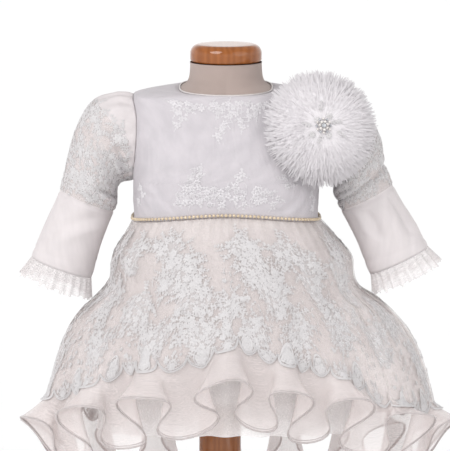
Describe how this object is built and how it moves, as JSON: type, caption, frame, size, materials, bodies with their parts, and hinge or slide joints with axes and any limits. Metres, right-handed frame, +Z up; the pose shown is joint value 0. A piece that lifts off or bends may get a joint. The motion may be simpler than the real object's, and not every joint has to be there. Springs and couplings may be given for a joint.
{
  "type": "christening gown on a dress form",
  "caption": "Baby's ivory christening gown with lace overskirt, curled organza hem, pearl waist and tulle pompom, on a jersey dress form with a wooden neck cap, pole and base.",
  "frame": {"origin": "centre of the base's underside, on the axis of the pole", "axes": "+Z up along the pole, -Y towards the gown's front, +X towards the wearer's left, where the pompom is"},
  "size_m": [0.4406, 0.3755, 0.5758],
  "materials": {
    "satin": "satin",
    "lace": "matte",
    "organza": "sheer",
    "net": "matte",
    "lining": "satin",
    "binding": "satin",
    "pearl": "pearl",
    "jersey": "ribbed knit",
    "wood": "polished"
  },
  "bodies": {
    "root": {"form_base": "wood", "form_pole": "wood", "form_neck_cap": "wood", "form_torso": "jersey", "bodice_front": "satin", "bodice_back_left": "satin", "bodice_back_right": "satin", "sleeve_upper_left": "satin", "sleeve_lower_left": "satin", "sleeve_upper_right": "satin", "sleeve_lower_right": "satin", "cuff_frill_left": "net", "cuff_frill_right": "net", "skirt_organza_front": "organza", "skirt_organza_back": "organza", "skirt_lace_front": "lace", "skirt_lace_back": "lace", "petticoat_net": "net", "skirt_lining": "lining", "neck_binding": "binding", "waist_pearls": "pearl", "back_button_1": "binding", "back_button_2": "binding", "back_button_3": "binding", "back_button_4": "binding", "pompom": "net", "pompom_brooch": "pearl"}
  },
  "joints": []
}
